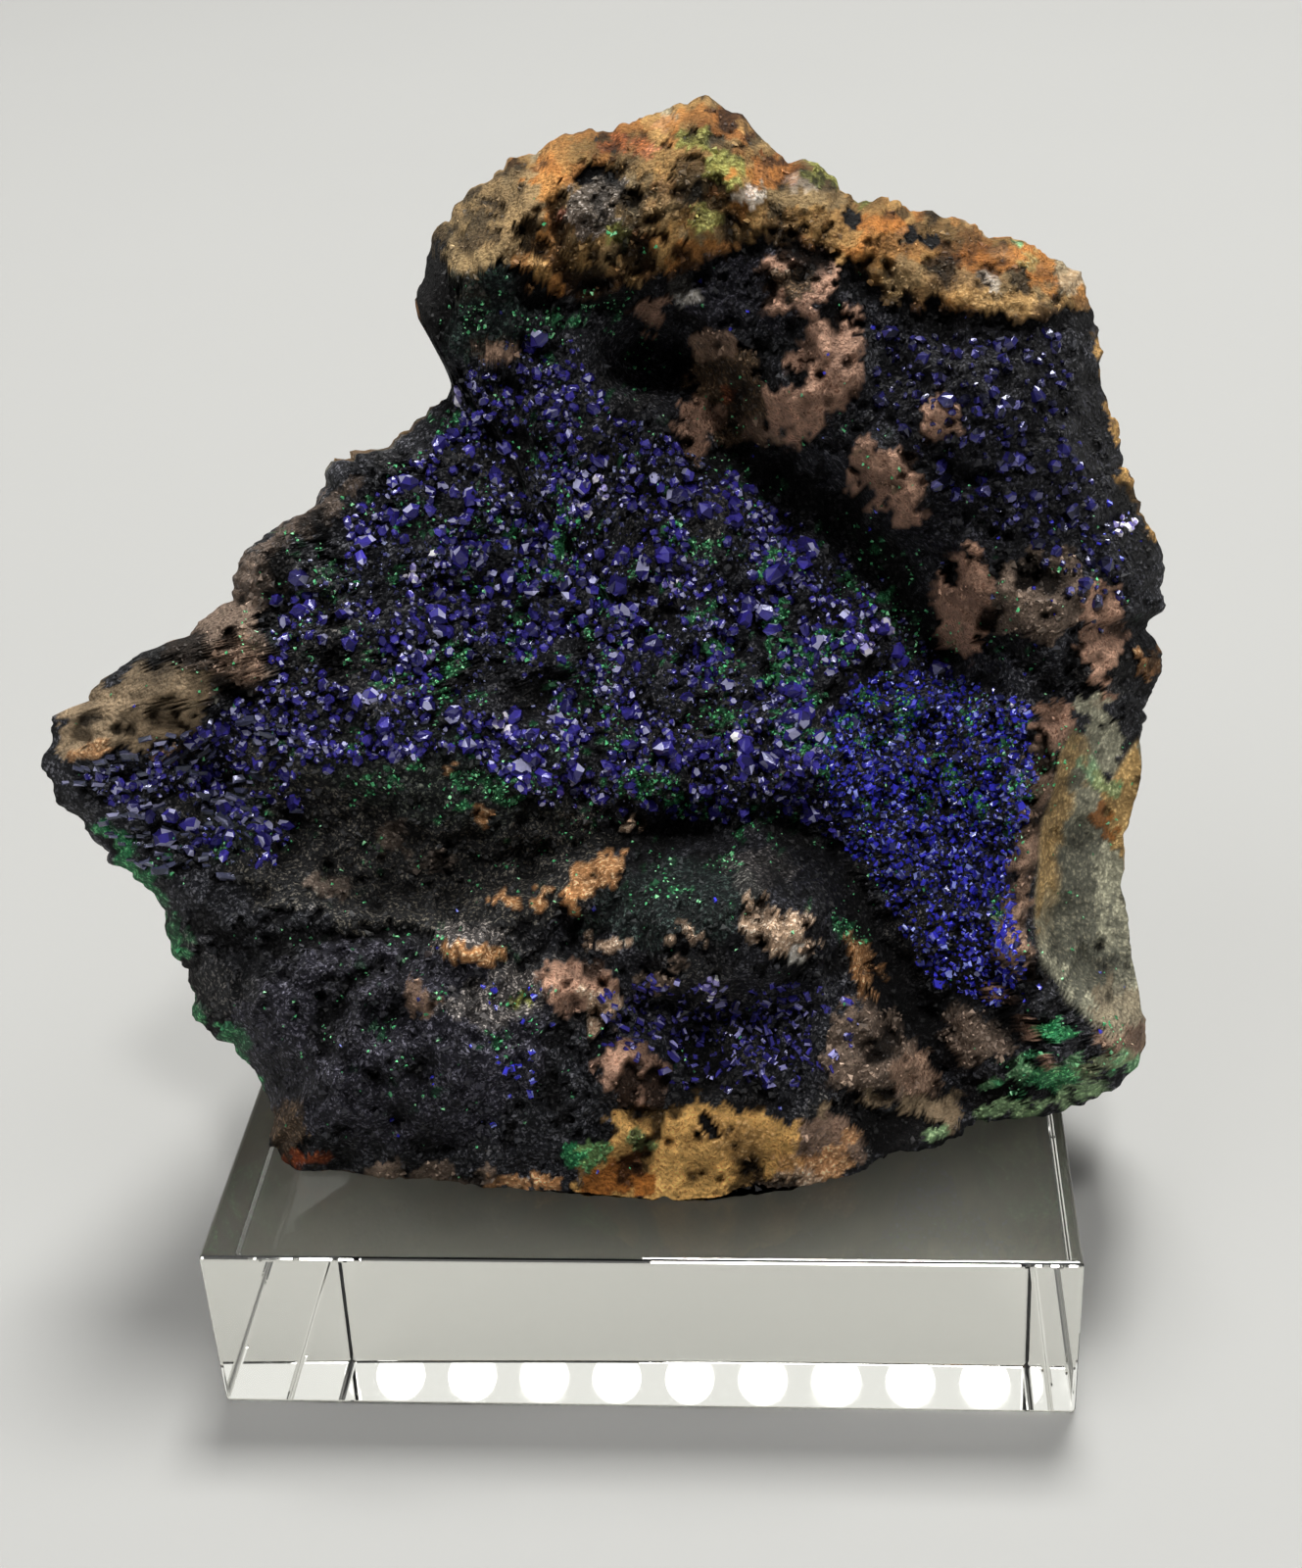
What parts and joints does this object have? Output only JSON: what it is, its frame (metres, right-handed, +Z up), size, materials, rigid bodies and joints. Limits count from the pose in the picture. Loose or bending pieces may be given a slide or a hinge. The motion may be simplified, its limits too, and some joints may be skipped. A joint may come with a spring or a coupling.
{
  "type": "azurite mineral specimen",
  "caption": "Lump of brown limonite rock with dark-blue azurite crystal crusts, green malachite and a cap of ochre, standing on a square clear acrylic block.",
  "frame": {"origin": "centre of the acrylic block's underside, on the surface it stands on", "axes": "+Z up; -Y towards the viewer, the way the crystal-lined face looks; +X to the viewer's right"},
  "size_m": [0.0665, 0.052, 0.0652],
  "materials": {
    "limonite_rock": "rough, dull to earthy, ochre to black-brown",
    "azurite": "glassy crystal faces, very dark royal blue",
    "clear_acrylic": "polished, clear"
  },
  "bodies": {
    "root": {"matrix_rock": "limonite_rock", "azurite_crust": "azurite", "upper_azurite_crust": "azurite", "lower_azurite_crust": "azurite", "acrylic_base": "clear_acrylic"}
  },
  "joints": []
}
